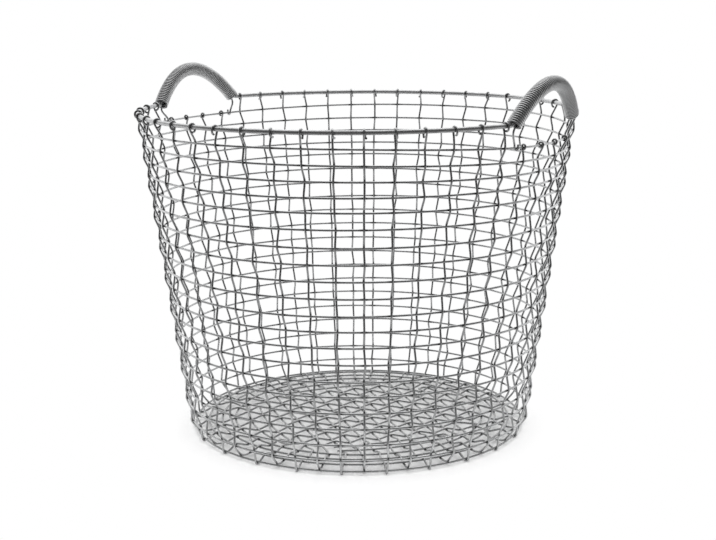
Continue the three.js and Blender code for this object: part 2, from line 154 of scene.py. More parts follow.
# %% The faces of a round wire
def wire_faces(lengths, sides, closed):
    """Corners, first corners and UV places of the faces: four-sided between rings, and one on each open end.

    The UV places are the length along the wire, in metres, and the share of the way round it.
    """
    count = len(lengths)
    spans = count if closed else count - 1
    span, corner = np.meshgrid(np.arange(spans), np.arange(sides), indexing="ij")
    after, beside = (span + 1) % count, (corner + 1) % sides
    quads = [span * sides + corner, after * sides + corner, after * sides + beside, span * sides + beside]
    corners = np.stack(quads, axis=-1).reshape(-1)
    starts = np.arange(0, len(corners), len(quads))
    far = np.append(lengths, 2 * lengths[-1] - lengths[-2])
    u = np.stack([far[span], far[span + 1], far[span + 1], far[span]], axis=-1).reshape(-1)
    v = np.stack([corner, corner, corner + 1, corner + 1], axis=-1).reshape(-1) / sides
    if not closed:
        cap = np.arange(sides)
        starts = np.append(starts, [len(corners), len(corners) + sides])
        corners = np.concatenate([corners, cap, (count - 1) * sides + cap[::-1]])
        u = np.concatenate([u, np.zeros(sides), np.full(sides, lengths[-1])])
        v = np.concatenate([v, cap / sides, cap / sides])
    return corners, starts, np.stack([u, v], axis=-1)


print("faces from one ring to the next:", WIRE_SIDES)

# %% [markdown]
# ## Where a wire is dark
#
# Shade is painted where wires touch, so the crossings show as dark dots, and painted shade makes the wires
# near the floor darker than the wall. A texture can't know where wires touch, but the script that bends them
# does. It keeps how much painted shade each vertex gets in an attribute of the mesh, and the finish reads it.

# %% Painted shade and the mesh of a wire
# Shade painted on the wires near the floor: its strength, and the heights over which it fades out.
LOW_PAINTED_SHADE = 0.35
LOW_SHADE_START, LOW_SHADE_END = 9 * MM, 16 * MM


def painted_shade_at(rings, radius, touches):
    """How much painted shade each vertex gets: spoke · touch + half the touch's length, most where the other
    wire is.

    Near the floor shade is painted on the wires all round, and it fades out with the height.
    """
    spokes = (rings - rings.mean(axis=1, keepdims=True)) / radius
    more = (len(rings) - len(touches)) // 2
    touches = np.pad(touches, ((more, more), (0, 0)), mode="edge")[:, None]
    half_length = np.linalg.norm(touches, axis=-1) / 2
    touched = np.clip((spokes * touches).sum(axis=-1) + half_length, 0, 1)
    low_shade = LOW_PAINTED_SHADE * np.clip((LOW_SHADE_END - rings[..., 2]) / (LOW_SHADE_END - LOW_SHADE_START), 0, 1)
    return np.maximum(touched, low_shade).reshape(-1)


def wire_object(name, line, side, radius, sides=WIRE_SIDES, closed=False, touches=None):
    """A mesh object of one wire, with a UV map and its painted shade.

    A touch is a vector for each point of the line, towards another wire there, and zero where there is none.
    """
    rings, lengths = wire_surface(line, side, radius, sides, closed)
    corners, starts, uv_places = wire_faces(lengths, sides, closed)
    touches = np.zeros_like(line) if touches is None else touches
    mesh = bpy.data.meshes.new(name)
    mesh.vertices.add(len(rings) * sides)
    mesh.vertices.foreach_set("co", rings.reshape(-1))
    mesh.loops.add(len(corners))
    mesh.loops.foreach_set("vertex_index", corners.astype(np.int32))
    mesh.polygons.add(len(starts))
    mesh.polygons.foreach_set("loop_start", starts.astype(np.int32))
    mesh.uv_layers.new(name="along_wire").uv.foreach_set("vector", uv_places.reshape(-1))
    mesh.attributes.new("painted_shade", "FLOAT", "POINT")
    mesh.attributes["painted_shade"].data.foreach_set("value", painted_shade_at(rings, radius, touches))
    mesh.update(calc_edges=True)
    mesh.validate()
    mesh.shade_smooth()
    made = bpy.data.objects.new(name, mesh)
    bpy.context.scene.collection.objects.link(made)
    return made


print("grime ends", LOW_SHADE_END, "m above the floor")

# %% [markdown]
# ## A line that bends as wire does
#
# Wire has no sharp corners. Given the points where it touches other wires and the direction in which it
# passes each of them, a cubic Hermite curve joins them. The length of a direction says how long the curve
# keeps to it: 1 gives an even bend, and less gives a tight bend with a straight way to the next point, which
# is how a crimped wire looks between two crossings.

# %% The bending line
TOUCH_REACH = 3.0 * MM


def steps_between(points, steps):
    """The chord from each point to the next, and shares t of the way, from 0 up to but not including 1."""
    chord = np.linalg.norm(np.diff(points, axis=0), axis=1)[:, None, None]
    return chord, (np.arange(steps) / steps)[None, :, None]


def flow_through(points, directions, steps):
    """A smooth line through points, passed in the given directions, with so many steps from each to the next.

    With t from 0 to 1, a place is (2t³ - 3t² + 1) of the point + (t³ - 2t² + t) of its direction
    + (3t² - 2t³) of the next point + (t³ - t²) of its direction. A direction of length 1 counts as one chord.
    """
    chord, t = steps_between(points, steps)
    here, there = points[:-1, None], points[1:, None]
    leaving, arriving = directions[:-1, None] * chord, directions[1:, None] * chord
    line = (2 * t**3 - 3 * t**2 + 1) * here + (t**3 - 2 * t**2 + t) * leaving
    line = line + (3 * t**2 - 2 * t**3) * there + (t**3 - t**2) * arriving
    return np.vstack([line.reshape(-1, 3), points[-1:]])


def spread(vectors, steps):
    """Vectors known at the points of such a line, blended evenly over its steps."""
    _, t = steps_between(vectors, steps)
    blended = (1 - t) * vectors[:-1, None] + t * vectors[1:, None]
    return np.vstack([blended.reshape(-1, 3), vectors[-1:]])


def fade_out(vectors, points, steps):
    """Vectors known at the points of such a line, fading with the distance d as e^-(d / reach)²."""
    chord, t = steps_between(points, steps)
    near = np.exp(-((t * chord / TOUCH_REACH) ** 2)) * vectors[:-1, None]
    far = np.exp(-(((1 - t) * chord / TOUCH_REACH) ** 2)) * vectors[1:, None]
    return np.vstack([(near + far).reshape(-1, 3), vectors[-1:]])


def outward(angles):
    """Level directions away from the basket's axis, at angles round it."""
    return np.stack([np.cos(angles), np.sin(angles), np.zeros_like(angles)], axis=-1)


def around(angles):
    """Level directions along the rim, at angles round the basket's axis."""
    return np.stack([-np.sin(angles), np.cos(angles), np.zeros_like(angles)], axis=-1)


print("tarnish fades out over", TOUCH_REACH, "m from a crossing")

# %% [markdown]
# ## The plan of the weave
#
# Twelve long wires run one way through the base and twelve the other way, so 48 uprights stand in the wall.
# In plain weave a wire passes each row on the other side than its neighbours do, and changes sides from row
# to row. Whether upright plus row is odd or even says which side that is: 1 is inside, -1 outside.
# The uprights stand a little off their even places, most of all half way between the handles.

# %% Angles and rows
NET_SIDES = 4
NET_WIRES = 12
NET_CELL = 17.1 * MM
NET_TURN = math.radians(52.5)
NET_LIFT = 2.4 * MM
UPRIGHTS = NET_SIDES * NET_WIRES
UPRIGHT_DRIFT = math.radians(3)
BASE_HOOP_COUNT = 3
SHORT_ROWS = 2
SHORT_ROW_WIRES = 8
RING_ROW = SHORT_ROWS + BASE_HOOP_COUNT + 1
RIM_ROW = RING_ROW + HOOP_COUNT + 1
HOOP_GIVE = 0.05 * MM
CROSSING = WEAVE_WIRE - HOOP_GIVE
CRIMP = 0.5

even_angles = NET_TURN + (np.arange(UPRIGHTS) - (NET_WIRES - 1) / 2) * 2 * np.pi / UPRIGHTS
upright_angles = even_angles + UPRIGHT_DRIFT * np.sin(even_angles) ** 2
net_height = ring_height + NET_LIFT


def side_of(upright, row):
    """1 where the upright passes the row inside the basket, and -1 where it passes outside."""
    return np.where((upright + row) % 2 == 1, 1, -1)


def wall_radius(height):
    """The wall is a cone: from the rim down, its radius shrinks evenly with the depth below the rim."""
    return RIM_RADIUS - WALL_LEAN * (rim_height - height) / (rim_height - ring_height)


def give_way(row, angles):
    """How far a ring bends away from the uprights: a wave with one crest to every second upright."""
    return HOOP_GIVE * side_of(0, row) * np.cos(UPRIGHTS / 2 * (angles - even_angles[0]))


print("uprights:", UPRIGHTS, "rows from the net to the rim:", RIM_ROW)

# %% [markdown]
# The basket is made by hand, so the rings rise and fall a little and the uprights sway. A seeded random
# generator gives the same small faults on every run. The top rings also hang lower under the handles, because
# the rim isn't there to hold them up.

# %% Small faults
FAULT_SEED = 11
HOOP_WANDER = 0.7 * MM
LEAST_WANDER, MOST_WANDER = 0.4, 1.0
UPRIGHT_SWAY = 0.5 * MM
HANDLE_DIP = 6.5 * MM
DIP_DIFFERENCE = 2.5 * MM
DIPPING_HOOPS = 4
rng = np.random.default_rng(FAULT_SEED)
hoop_phases = rng.uniform(0, 2 * np.pi, (HOOP_COUNT, 2))
hoop_wander = HOOP_WANDER * rng.uniform(LEAST_WANDER, MOST_WANDER, (HOOP_COUNT, 2))
sway = UPRIGHT_SWAY * rng.normal(size=(UPRIGHTS, HOOP_COUNT))


def hoop_level(hoop, angles):
    """The height of a wall ring at angles round it: its own height, two slow waves, and a dip at the handles.

    Away from the handles the dip fades as (cos a)⁴. At the first handle it is deeper than at the second, by
    twice the difference.
    """
    waves = np.sin(angles + hoop_phases[hoop, 0]) * hoop_wander[hoop, 0]
    waves = waves + np.sin(2 * angles + hoop_phases[hoop, 1]) * hoop_wander[hoop, 1]
    dip = (HANDLE_DIP + DIP_DIFFERENCE * np.cos(angles)) * max(0, 1 - hoop / DIPPING_HOOPS)
    return hoop_heights[hoop] + waves - dip * np.cos(angles) ** 4


print("small faults: seed", FAULT_SEED, "largest sway", round(np.abs(sway).max(), 4))

# %% [markdown]
# ## Finish: bare galvanised wire
#
# Zinc on drawn wire is a dull grey metal, paler and duller in patches, with fine lines along the wire from
# the drawing die. One node group makes both patterns and lays painted shade over them, and each material
# gives it its own colours and sizes. The patches read Object coordinates. The lines read the UV map, because
# they follow the wire, and the painted shade reads the attribute of the mesh.

# %% The zinc group
PATCH_DETAIL = 5
LINE_DETAIL = 3
LINE_SCALE = 1.0
LINE_STRETCH = (30, 9, 1)
LINE_SHARE = 0.45
CONTRAST_FROM, CONTRAST_TO = 0.5, 0.95
COLOUR, VALUE = "NodeSocketColor", "NodeSocketFloat"
ZINC_INPUTS = {
    "Pale": COLOUR, "Dull": COLOUR, "Painted Shade": COLOUR,
    "Patch Scale": VALUE, "Smoothest": VALUE, "Roughest": VALUE,
}
ZINC_OUTPUTS = {"Color": COLOUR, "Roughness": VALUE, "Height": VALUE}


def set_inputs(node, values):
    """Puts fixed values on input sockets of a node."""
    for socket, value in values.items():
        node.inputs[socket].default_value = value


def add_node(tree, kind, **values):
    """A new shader node. The values are for its inputs, with _ for a space in the name of a socket."""
    node = tree.nodes.new(f"ShaderNode{kind}")
    set_inputs(node, {name.replace("_", " "): value for name, value in values.items()})
    return node


def mix_colours(tree, share, first, second):
    """Two colours blended by a node: the first where the share is 0, and the second where it is 1."""
    mix = add_node(tree, "Mix")
    mix.data_type = "RGBA"
    for source, socket in ((share, "Factor"), (first, "A"), (second, "B")):
        tree.links.new(source, mix.inputs[socket])
    return mix.outputs["Result"]


def zinc_group():
    """Colour, roughness and height of zinc on wire: soft patches, fine lines along the wire, and painted
    shade.
    """
    group = bpy.data.node_groups.new("zinc_on_wire", "ShaderNodeTree")
    for name, kind in ZINC_INPUTS.items():
        group.interface.new_socket(name=name, in_out="INPUT", socket_type=kind)
    for name, kind in ZINC_OUTPUTS.items():
        group.interface.new_socket(name=name, in_out="OUTPUT", socket_type=kind)
    link = group.links.new
    given, result = group.nodes.new("NodeGroupInput"), group.nodes.new("NodeGroupOutput")
    place = add_node(group, "TexCoord")
    patches = add_node(group, "TexNoise", Detail=PATCH_DETAIL)
    link(place.outputs["Object"], patches.inputs["Vector"])
    link(given.outputs["Patch Scale"], patches.inputs["Scale"])
    stretch = add_node(group, "Mapping", Scale=LINE_STRETCH)
    link(place.outputs["UV"], stretch.inputs["Vector"])
    lines = add_node(group, "TexNoise", Detail=LINE_DETAIL, Scale=LINE_SCALE)
    link(stretch.outputs["Vector"], lines.inputs["Vector"])
    both = add_node(group, "Math")
    both.operation = "MULTIPLY_ADD"
    both.inputs[1].default_value = LINE_SHARE
    link(lines.outputs["Fac"], both.inputs[0])
    link(patches.outputs["Fac"], both.inputs[2])
    contrast = add_node(group, "MapRange", From_Min=CONTRAST_FROM, From_Max=CONTRAST_TO)
    link(both.outputs["Value"], contrast.inputs["Value"])
    rough = add_node(group, "MapRange")
    link(contrast.outputs["Result"], rough.inputs["Value"])
    link(given.outputs["Smoothest"], rough.inputs["To Min"])
    link(given.outputs["Roughest"], rough.inputs["To Max"])
    touched = add_node(group, "Attribute")
    touched.attribute_name = "painted_shade"
    # The patches and lines are the zinc's own tone; painted shade is laid over them from the attribute.
    unshaded = mix_colours(group, contrast.outputs["Result"], given.outputs["Pale"], given.outputs["Dull"])
    shaded_colour = mix_colours(group, touched.outputs["Fac"], unshaded, given.outputs["Painted Shade"])
    link(shaded_colour, result.inputs["Color"])
    link(rough.outputs["Result"], result.inputs["Roughness"])
    link(lines.outputs["Fac"], result.inputs["Height"])
    return group


zinc_on_wire = zinc_group()
print("zinc group:", len(zinc_on_wire.nodes), "nodes")

# %% [markdown]
# The basket has three finishes of the same zinc. The woven wire is bright and fairly smooth. The rim is a
# thicker and duller wire, and the grips are wound from the palest wire. Each material is one metal shader fed
# by the group, so they differ only in the values that they give it.

# %% The materials
# The dark colour of the painted shade where wires touch, near the floor and in the grooves of the grips.
SHADE_PAINT = (0.05, 0.05, 0.05, 1)
RELIEF_STRENGTH = 0.25
RELIEF_DEPTH = 0.05 * MM


def zinc_material(name, pale, dull, patch_scale, smoothest, roughest):
    """A metal that takes its colour, roughness and relief from the zinc group."""
    material = bpy.data.materials.new(name)
    material.use_nodes = True
    tree = material.node_tree
    shader, link = tree.nodes["Principled BSDF"], tree.links.new
    shader.inputs["Metallic"].default_value = 1.0
    zinc = add_node(tree, "Group")
    zinc.node_tree = zinc_on_wire
    set_inputs(zinc, {"Pale": (*pale, 1), "Dull": (*dull, 1), "Painted Shade": SHADE_PAINT})
    set_inputs(zinc, {"Patch Scale": patch_scale, "Smoothest": smoothest, "Roughest": roughest})
    relief = add_node(tree, "Bump", Strength=RELIEF_STRENGTH, Distance=RELIEF_DEPTH)
    link(zinc.outputs["Color"], shader.inputs["Base Color"])
    link(zinc.outputs["Roughness"], shader.inputs["Roughness"])
    link(zinc.outputs["Height"], relief.inputs["Height"])
    link(relief.outputs["Normal"], shader.inputs["Normal"])
    return material


woven_zinc = zinc_material(
    "woven_zinc", pale=(0.69, 0.695, 0.7), dull=(0.53, 0.535, 0.54),
    patch_scale=160, smoothest=0.22, roughest=0.34,
)
rim_zinc = zinc_material(
    "rim_zinc", pale=(0.76, 0.765, 0.77), dull=(0.62, 0.625, 0.63),
    patch_scale=120, smoothest=0.42, roughest=0.5,
)
sleeve_zinc = zinc_material(
    "sleeve_zinc", pale=(0.88, 0.885, 0.89), dull=(0.78, 0.785, 0.79),
    patch_scale=60, smoothest=0.36, roughest=0.46,
)


def dress(piece, material, slot, *nodes):
    """Gives a piece its finish and its body, and hides the CAD nodes that it stands for."""
    piece.data.materials.append(material)
    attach(piece, "root")
    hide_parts(*nodes)
    return piece


print("finishes:", woven_zinc.name, rim_zinc.name, sleeve_zinc.name)

# %% [markdown]
# ## Rings
#
# Each wall row is one wire, closed in a ring. In a real basket the rings are the stiffer wires: they stay
# nearly round, and the uprights do the bending. So a ring is a circle with three small waves on it: two slow
# ones up and down, and a quick one in and out where it gives way to the uprights.

# %% Wall rings
RING_STEPS = 576
ring_angles = 2 * np.pi * np.arange(RING_STEPS) / RING_STEPS
level_side = np.tile(UP, (RING_STEPS, 1))


def ring_line(radius, height):
    """A circle whose radius and height may change from angle to angle."""
    return radius[:, None] * outward(ring_angles) + height[:, None] * UP


def ring_touches(row, radius, inside):
    """Touches of a ring: towards the nearest upright, on its side of the ring, fading with the way to it."""
    turns = (ring_angles[:, None] - upright_angles + np.pi) % (2 * np.pi) - np.pi
    nearest = np.abs(turns).argmin(axis=1)
    way = radius * np.abs(turns).min(axis=1)
    return (side_of(nearest, row) * np.exp(-((way / TOUCH_REACH) ** 2)))[:, None] * inside


def ring_of_wire(name, node, line, touches=None):
    """One closed ring of weaving wire, in the place of a CAD node."""
    ring = wire_object(name, line, level_side, WEAVE_WIRE / 2, closed=True, touches=touches)
    return dress(ring, woven_zinc, "galvanised_wire", node)


for hoop, node in enumerate(hoop_nodes):
    height = hoop_level(hoop, ring_angles)
    row = RIM_ROW - 1 - hoop
    radius = wall_radius(height) + give_way(row, ring_angles)
    touches = ring_touches(row, radius, -outward(ring_angles))
    ring_of_wire(f"wall_row_{hoop + 1:02d}", node, ring_line(radius, height), touches)
print("wall rings:", HOOP_COUNT)

# %% [markdown]
# The base ring is the corner between wall and base, and three whole rows lie inside it. They share the room
# between the ring and the corners of the square net evenly. They lie flat, so their quick wave goes up and
# down.

# %% Base ring and base rows
flat = np.ones(RING_STEPS)
ring_of_wire("foot_ring", "base_ring", ring_line(BASE_RADIUS * flat, ring_height * flat))

net_offsets = (np.arange(NET_WIRES) - (NET_WIRES - 1) / 2) * NET_CELL
net_half = net_offsets[-1]
net_corner = net_half * math.sqrt(2)
base_shares = np.arange(1, BASE_HOOP_COUNT + 1) / (BASE_HOOP_COUNT + 1)
base_radii = net_corner + (BASE_RADIUS - net_corner) * base_shares
for hoop, node in enumerate(numbered("base_hoop", BASE_HOOP_COUNT)):
    row, radius = SHORT_ROWS + 1 + hoop, base_radii[hoop] * flat
    line = ring_line(radius, net_height - give_way(row, ring_angles))
    ring_of_wire(f"base_row_{hoop + 1:02d}", node, line, ring_touches(row, radius, level_side))
print("base rows at", np.round(base_radii, 4))

# %% [markdown]
# ## The net and the short rows
#
# In the middle of the base the long wires cross in a square net. Round it the corners of the square are
# nearer to the first whole ring than its sides are, so the weaver fills each side with two short rows. They
# are one wire: it runs along the net, turns back in a hairpin and returns. It starts and ends in a short
# tail.

# %% Short rows
TAIL = 5 * MM
HAIRPIN_BULGE = 3 * MM
SHORT_STEPS = 8
SKIPPED = (NET_WIRES - SHORT_ROW_WIRES) // 2


def turned(points, angle):
    """Points turned about the basket's axis."""
    c, s = math.cos(angle), math.sin(angle)
    return points @ np.array([[c, s, 0], [-s, c, 0], [0, 0, 1]])


def net_edges(side):
    """Where the wires of one side of the net leave it, one point for each upright on that side."""
    local = np.stack([np.full(NET_WIRES, net_half), net_offsets, np.full(NET_WIRES, net_height)], axis=-1)
    return turned(local, NET_TURN + side * np.pi / 2)


edges = np.vstack([net_edges(side) for side in range(NET_SIDES)])
first_row_places = base_radii[0] * outward(upright_angles) + net_height * UP


def short_row_places(short_row):
    """Points on a short row, one for each upright, at an even share of the way to the first whole row."""
    return edges + (first_row_places - edges) * short_row / (SHORT_ROWS + 1)


def with_tails(row):
    """The points of a row and its directions, with a straight tail at both ends."""
    along = unit(np.gradient(row, axis=0))
    points = np.vstack([row[0] - TAIL * along[0], row, row[-1] + TAIL * along[-1]])
    return points, np.vstack([along[:1], along, along[-1:]])


for side, node in enumerate(numbered("base_short_rows", NET_SIDES)):
    picked = side * NET_WIRES + SKIPPED + np.arange(SHORT_ROW_WIRES)
    out, back = short_row_places(1)[picked], short_row_places(2)[picked][::-1]
    (out_points, out_ways), (back_points, back_ways) = with_tails(out), with_tails(back)
    turn_point = (out[-1] + back[0]) / 2 + (TAIL + HAIRPIN_BULGE) * out_ways[-1]
    points = np.vstack([out_points, turn_point, back_points])
    directions = np.vstack([out_ways, unit(back[0] - out[-1]), back_ways])
    line = flow_through(points, directions, SHORT_STEPS)
    rows = wire_object(f"hairpin_rows_{side + 1:02d}", line, np.tile(UP, (len(line), 1)), WEAVE_WIRE / 2)
    dress(rows, woven_zinc, "galvanised_wire", node)
print("short rows:", NET_SIDES, "wires of", SHORT_ROWS, "rows")

# %% [markdown]
# ## Curled ends
#
# At the top a long wire turns once round the rim and ends in a stub. Under the handles the rim is out of
# reach, so there the wire ends in an eye round the top ring. Each curl is a helix that opens towards its end,
# and no two of them are closed alike, because they are bent by hand.

# %% Curls and eyes
CURL_LEAD = math.radians(-20)
CURL_TURN = math.radians(285)
EYE_TURN = math.radians(300)
CURL_SPREAD = math.radians(22)
CURL_POINTS = 12
CURL_DRIFT = 2.3 * MM
CURL_FALL = 2.1 * MM
# How strongly shade is painted on a curl where it lies against its core.
CURL_TOUCH = 0.5
EYE_PLAY = 0.6 * MM
FORWARD_SHARE = 0.7
HANDLE_SPAN = math.radians(18.2)
handle_angles = np.array([0, np.pi])
curl_faults = rng.uniform(-1, 1, UPRIGHTS)
drift_ways = np.where(rng.uniform(size=UPRIGHTS) < FORWARD_SHARE, 1, -1)


def away_from_handle(angles):
    """The angle to the nearer handle."""
    turns = angles[:, None] - handle_angles
    return np.abs((turns + np.pi) % (2 * np.pi) - np.pi).min(axis=1)


under_handle = away_from_handle(upright_angles) < HANDLE_SPAN


def curl_points(centre, out, core, side, turn, parting):
    """A turn round a core, from beside it over the top: centre + reach · (∓ outward · cos a + up · sin a).

    The end parts from the turn with the square of its share, so that it passes its own start.
    """
    angle = np.linspace(CURL_LEAD, turn, CURL_POINTS)[:, None]
    share = (angle - CURL_LEAD) / (turn - CURL_LEAD)
    reach = (core + WEAVE_WIRE) / 2
    places = centre - reach * side * np.cos(angle) * out + reach * np.sin(angle) * UP + share**2 * parting
    directions = side * np.sin(angle) * out + np.cos(angle) * UP
    directions = directions + 2 * share * parting / (reach * (turn - CURL_LEAD))
    return places, unit(directions)


def curled_end(upright, out, along):
    """Points, directions and touches of a curl round the rim, or of an eye round the top ring."""
    if under_handle[upright]:
        level = hoop_level(0, upright_angles[upright])
        centre = wall_radius(level) * out + (level + EYE_PLAY / 2) * UP
        core, row, turn, fall = WEAVE_WIRE + EYE_PLAY, RIM_ROW - 1, EYE_TURN, 0.0
    else:
        centre = RIM_RADIUS * out + rim_height * UP
        core, row, turn, fall = RIM_WIRE, RIM_ROW, CURL_TURN, CURL_FALL
    turn = turn + CURL_SPREAD * curl_faults[upright]
    parting = CURL_DRIFT * drift_ways[upright] * along - fall * UP
    places, directions = curl_points(centre, out, core, side_of(upright, row), turn, parting)
    return places, directions, CURL_TOUCH * unit(centre - places)


print("curls:", int((~under_handle).sum()), "eyes under the handles:", int(under_handle.sum()))

# %% [markdown]
# ## Long wires
#
# A long wire is one upright, its way across the net, and the upright on the other side. Its points are the
# places where it touches other wires. The wires touch there, so a crossing lies one wire's thickness away
# from the middle of the ring. Under the base ring every second wire bends round it and is a small foot.

# %% The way of one upright
def past_rows(places, sides, across, lift, way):
    """A stretch past rows: place + lift · side · across, all in one direction, with touches to the rows."""
    passing = sides[:, None] * across
    return places + lift * passing, np.tile(CRIMP * way, (len(places), 1)), -passing


def past_base_ring(upright, out, up_wall, into_basket):
    """Over the base ring on its inner side, or under it as a foot and then up on its outer side."""
    if side_of(upright, RING_ROW) > 0:
        touches, directions = np.array([unit(out - UP)]), np.array([unit(out + UP)])
    else:
        touches, directions = np.array([UP, into_basket]), np.array([out, up_wall])
    return BASE_RADIUS * out + ring_height * UP - WEAVE_WIRE * touches, directions, touches


def upright_way(upright):
    """Points, directions, touches and sides of an upright, from the net's edge to its curled end."""
    angle = upright_angles[upright]
    out, along = outward(angle), around(angle)
    up_wall = unit(WALL_LEAN * out + (rim_height - ring_height) * UP)
    into_basket = np.cross(up_wall, along)
    stretches = []

    if SKIPPED <= upright % NET_WIRES < NET_WIRES - SKIPPED:
        rows = np.arange(1, SHORT_ROWS + 1)
        places = np.array([short_row_places(row)[upright] for row in rows])
        way = unit(first_row_places[upright] - edges[upright])
        stretches.append(past_rows(places, side_of(upright, rows), UP, WEAVE_WIRE, way))

    rows = SHORT_ROWS + 1 + np.arange(BASE_HOOP_COUNT)
    places = base_radii[:, None] * out + net_height * UP
    stretches.append(past_rows(places, side_of(upright, rows), UP, CROSSING, out))
    stretches.append(past_base_ring(upright, out, up_wall, into_basket))

    highest_hoop = 1 if under_handle[upright] else 0
    hoops = np.arange(HOOP_COUNT - 1, highest_hoop - 1, -1)
    heights = np.array([hoop_level(hoop, angle) for hoop in hoops])
    places = wall_radius(heights)[:, None] * out + heights[:, None] * UP
    places = places + sway[upright, hoops][:, None] * along
    sides = side_of(upright, RIM_ROW - 1 - hoops)
    stretches.append(past_rows(places, sides, into_basket, CROSSING, up_wall))
    stretches.append(curled_end(upright, out, along))

    points, directions, touches = (np.vstack(part) for part in zip(*stretches))
    return points, directions, touches, np.tile(along, (len(points), 1))


print("points on the first upright:", len(upright_way(0)[0]))

# %% [markdown]
# In the net the lengthwise wires bend over one crosswise wire and under the next. The weaver stretches one
# set first and threads the other set through it, so that one is crimped most, and the first gives way less.

# %% Lengthwise and crosswise wires
WIRE_STEPS = 7
THIN_SIDES = 8
LENGTHWISE_BEND = 0.85


def long_wire(name, node, start, end, net_points, net_along, net_touches):
    """One wire from the curl of its first upright, through the net, to the curl of its last."""
    down_points, down_ways, down_touches, down_sides = upright_way(start)
    up_points, up_ways, up_touches, up_sides = upright_way(end)
    net_ways = np.tile(CRIMP * net_along, (NET_WIRES, 1))
    net_sides = np.tile(np.cross(UP, net_along), (NET_WIRES, 1))
    points = np.vstack([down_points[::-1], net_points, up_points])
    directions = np.vstack([-down_ways[::-1], net_ways, up_ways])
    touches = np.vstack([down_touches[::-1], net_touches, up_touches])
    sides = np.vstack([-down_sides[::-1], net_sides, up_sides])
    line = flow_through(points, directions, WIRE_STEPS)
    wire = wire_object(
        name, line, spread(sides, WIRE_STEPS), WEAVE_WIRE / 2,
        sides=THIN_SIDES, touches=fade_out(touches, points, WIRE_STEPS),
    )
    return dress(wire, woven_zinc, "galvanised_wire", node)


others = np.arange(NET_WIRES)
lengthwise_along, crosswise_along = turned(np.eye(3)[:2], NET_TURN)
for wire in range(NET_WIRES):
    number = f"{wire + 1:02d}"
    over = np.where((wire + others) % 2 == 0, 1, -1)
    below = -over[:, None] * UP
    here = np.full(NET_WIRES, net_offsets[wire])

    bent = net_height + LENGTHWISE_BEND * WEAVE_WIRE * over
    points = turned(np.stack([net_offsets, here, bent], axis=-1), NET_TURN)
    start, end = 3 * NET_WIRES - 1 - wire, wire
    node = f"lengthwise_wire_{number}"
    long_wire(f"long_wire_a_{number}", node, start, end, points, lengthwise_along, below)

    bent = net_height - (1 - LENGTHWISE_BEND) * WEAVE_WIRE * over
    points = turned(np.stack([here, net_offsets, bent], axis=-1), NET_TURN)
    start, end = 3 * NET_WIRES + wire, 2 * NET_WIRES - 1 - wire
    node = f"crosswise_wire_{number}"
    long_wire(f"long_wire_b_{number}", node, start, end, points, crosswise_along, -below)
print("long wires:", 2 * NET_WIRES)

# %% [markdown]
# ## Handles
#
# At each handle the rim leaves its circle, bends up and runs in an arch. A close coil of wire is slipped over
# the arch as a grip. A thinner wire lies in the grip under the rim; its ends come out and hook round the
# top ring, so that the handle can't fold. All three follow one middle line: a parabola laid on the rim's
# cylinder. Its points are spaced by length, which the turns of the coil need.

# %% The middle line of a grip
SLEEVE_HALF_WIDTH = 69 * MM
HANDLE_RISE = 39 * MM
COIL_BORE = 11.4 * MM
GRIP_ROOM = 1.0 * MM
ARCH_STEPS = 96
FINE_STEPS = 2000


def grip_line(handle, steps):
    """Points of the middle line, directions along it, into the basket and out of the arch, and its length.

    Across from -1 to 1, the angle grows evenly and the rise is top · (1 - across²).
    """
    across = np.linspace(-1, 1, FINE_STEPS)
    fine = RIM_RADIUS * outward(handle + across * SLEEVE_HALF_WIDTH / RIM_RADIUS)
    fine = fine + (rim_height + HANDLE_RISE * (1 - across**2))[:, None] * UP
    length = np.concatenate([[0], np.cumsum(np.linalg.norm(np.diff(fine, axis=0), axis=1))])
    at = np.linspace(0, length[-1], steps + 1)
    points = np.stack([np.interp(at, length, axis) for axis in fine.T], axis=-1)
    along = unit(np.stack([np.interp(at, length, axis) for axis in np.gradient(fine, axis=0).T], axis=-1))
    into = -unit(points * [1, 1, 0])
    return points, along, into, unit(np.cross(along, into)), length[-1]


arch_points, arch_along, _, arch_over, grip_length = grip_line(0, ARCH_STEPS)
print("grip length", round(grip_length, 4))

# %% [markdown]
# The rim is one closed wire. Half of it is a stretch of the circle, a bend, an arch and another bend, and
# the other half is the same, turned by half a turn.

# %% The rim
RIM_BEND = 8.5 * MM
RIM_STEPS = 260
RIM_SIDES = 16
BEND_STEPS = 14
rim_above = (COIL_BORE - RIM_WIRE) / 2 - GRIP_ROOM
arch = turned(arch_points + rim_above * arch_over, np.pi)
bend_end = (SLEEVE_HALF_WIDTH + RIM_BEND) / RIM_RADIUS
circle_angles = np.linspace(bend_end, np.pi - bend_end, RIM_STEPS)
circle = RIM_RADIUS * outward(circle_angles) + rim_height * UP
bend_ends = np.stack([circle[-1], arch[0]])
bend_ways = np.stack([around(circle_angles[-1]), turned(arch_along[0], np.pi)])
bend_in = flow_through(bend_ends, bend_ways, BEND_STEPS)[1:-1]
bend_out = (bend_in * [1, -1, 1])[::-1]
half = np.vstack([circle, bend_in, arch, bend_out])
rim_line = np.vstack([half, turned(half, np.pi)])
rim_side = -unit(rim_line * [1, 1, 0])
rim = wire_object("rim_loop", rim_line, rim_side, RIM_WIRE / 2, sides=RIM_SIDES, closed=True)
dress(rim, rim_zinc, "galvanised_wire", "rim_wire")
print("rim:", len(rim_line), "points")

# %% [markdown]
# A grip is a helix round the middle line. The turns are wound tight, one wire's thickness apart along that
# line. On the outside of the arch they open a little, and on its inside they press into each other. The
# grooves between them lie in shade, so shade is painted on each turn, strongest on its two sides.

# %% Grips
TURN_STEPS = 26
COIL_SIDES = 10
# Shade painted into the grooves between the turns.
GROOVE_SHADE = 0.9
coil_radius = (COIL_BORE + COIL_WIRE) / 2
coil_turns = int(grip_length / COIL_WIRE)
groove_shade = GROOVE_SHADE * np.sin(2 * np.pi * np.arange(COIL_SIDES) / COIL_SIDES) ** 2


